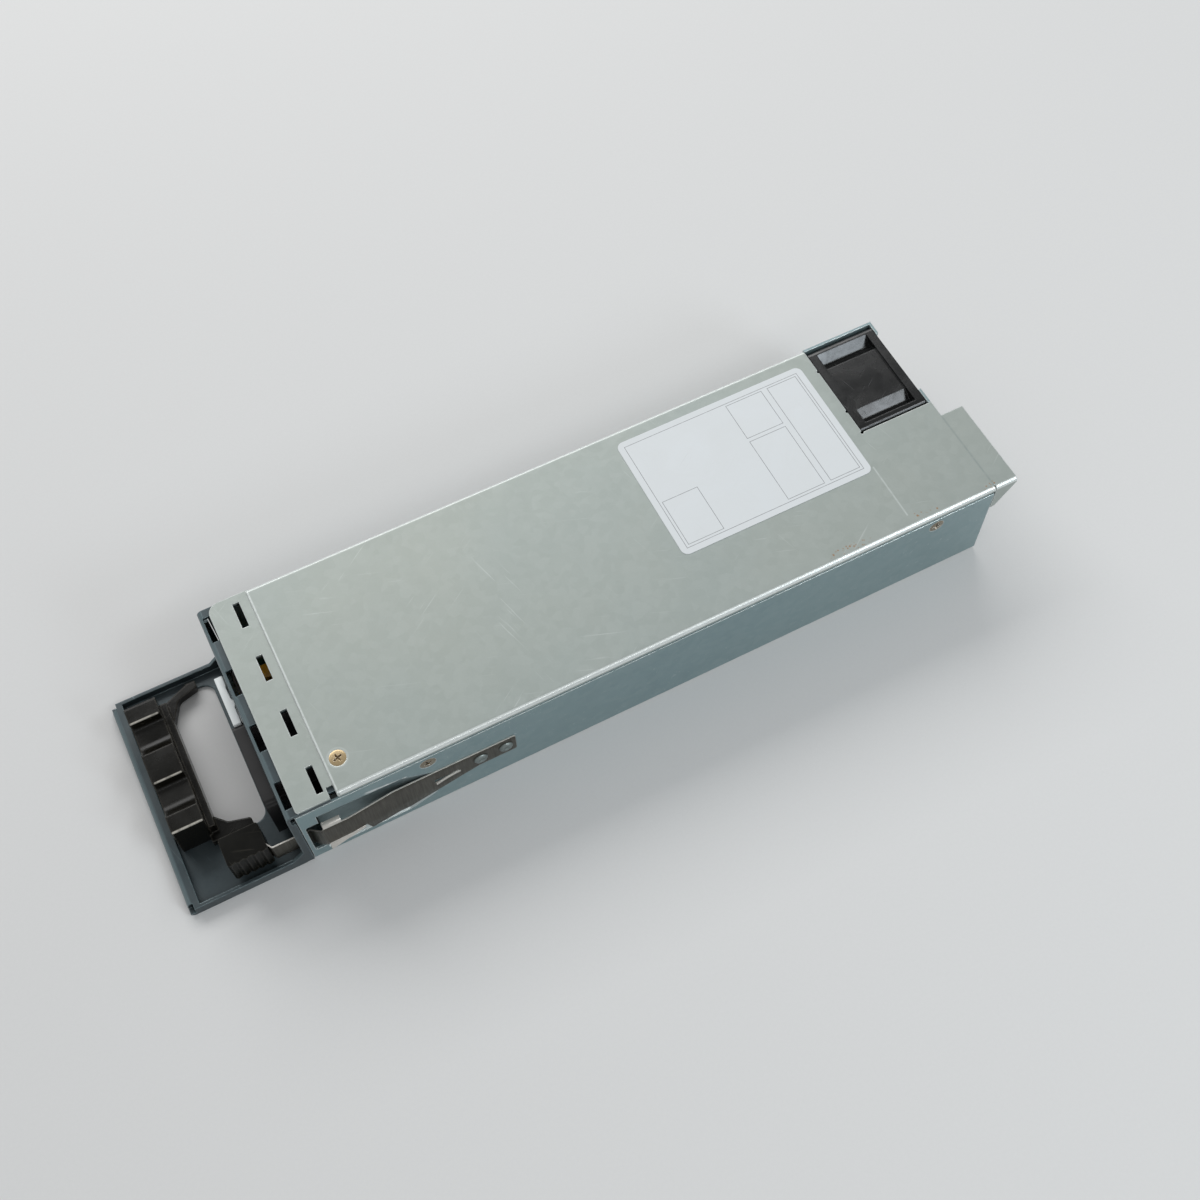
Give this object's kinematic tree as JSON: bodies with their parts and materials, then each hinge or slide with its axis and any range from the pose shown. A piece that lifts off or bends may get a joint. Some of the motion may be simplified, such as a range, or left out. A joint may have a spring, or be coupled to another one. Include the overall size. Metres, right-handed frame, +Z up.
{
  "type": "hot swap server power supply",
  "caption": "Slim hot-swap server power supply: folded steel case, rear mains inlet, pull handle, spring side latch, internal fan and card-edge connector.",
  "frame": {"origin": "middle of the rear face's bottom edge, on the underside of the case, where the handle tray meets the body", "axes": "+X along the case from the rear (inlet and handle) end to the connector end, which is the way it slides in; +Y towards the side wall without the latch; +Z up through the label side"},
  "size_m": [0.313, 0.0863, 0.0401],
  "materials": {
    "galvanised_steel": "galvanised, satin",
    "slate_paint": "dark slate coat, satin",
    "spring_steel": "bare, satin",
    "zinc_screw": "zinc plated",
    "black_moulding": "matte, fine grain",
    "inlet_moulding": "matte",
    "fan_moulding": "satin",
    "white_moulding": "translucent white",
    "label_film": "matte printed film, blank",
    "circuit_board": "solder resist",
    "gold_contact": "plated",
    "nickel_contact": "plated",
    "brass_standoff": "turned",
    "capacitor_sleeve": "shrink sleeve over aluminium can",
    "amber_film": "amber tape",
    "ferrite": "sintered, matte",
    "copper_winding": "enamelled wire",
    "heatsink_aluminium": "extruded",
    "black_epoxy": "moulded package",
    "shaft_steel": "ground",
    "magnet_rubber": "bonded ferrite",
    "insulator_film": "fibre sheet",
    "stator_steel": "laminated"
  },
  "bodies": {
    "case": {"base_chassis": "galvanised_steel", "top_cover": "galvanised_steel", "rear_bezel": "slate_paint", "handle_grip": "black_moulding", "latch_leaf_anchor": "spring_steel", "latch_rivets": "zinc_screw", "near_side_screws": "zinc_screw", "far_side_screws": "zinc_screw", "top_cover_screw": "zinc_screw", "fan_frame": "fan_moulding", "fan_circuit_board": "circuit_board", "fan_stator": "stator_steel", "fan_bearings": "brass_standoff", "fan_screws": "zinc_screw", "ac_inlet": "inlet_moulding", "inlet_contacts": "nickel_contact", "inlet_board": "circuit_board", "status_light_guide": "white_moulding", "rating_label": "label_film", "main_board": "circuit_board", "board_standoffs": "brass_standoff", "board_screws": "zinc_screw", "edge_contacts": "gold_contact", "insulator_sheet": "insulator_film", "bulk_capacitors": "capacitor_sleeve", "output_capacitors": "capacitor_sleeve", "film_capacitor": "amber_film", "line_filter_choke": "copper_winding", "boost_choke": "copper_winding", "transformer_core": "ferrite", "transformer_winding": "amber_film", "primary_heatsink": "heatsink_aluminium", "secondary_heatsink": "heatsink_aluminium", "primary_transistors": "black_epoxy", "secondary_transistors": "black_epoxy", "control_board": "circuit_board", "control_chips": "black_epoxy", "fan_plug": "white_moulding"},
    "fan": {"fan_rotor": "fan_moulding", "fan_magnet_ring": "magnet_rubber", "fan_shaft": "shaft_steel"},
    "latch": {"latch_leaf": "spring_steel", "latch_thumb_tab": "black_moulding"}
  },
  "joints": [
    {"name": "fan_spin", "type": "hinge", "parent": "case", "child": "fan", "pos_m": [0.25, 0.02035, 0.02], "axis": [1, 0, 0], "continuous": true},
    {"name": "latch_flex", "type": "hinge", "parent": "case", "child": "latch", "pos_m": [0.047, -0.04125, 0.0155], "axis": [0, 0, -1], "range_deg": [0, 6], "stiffness_Nm_per_rad": 5}
  ]
}
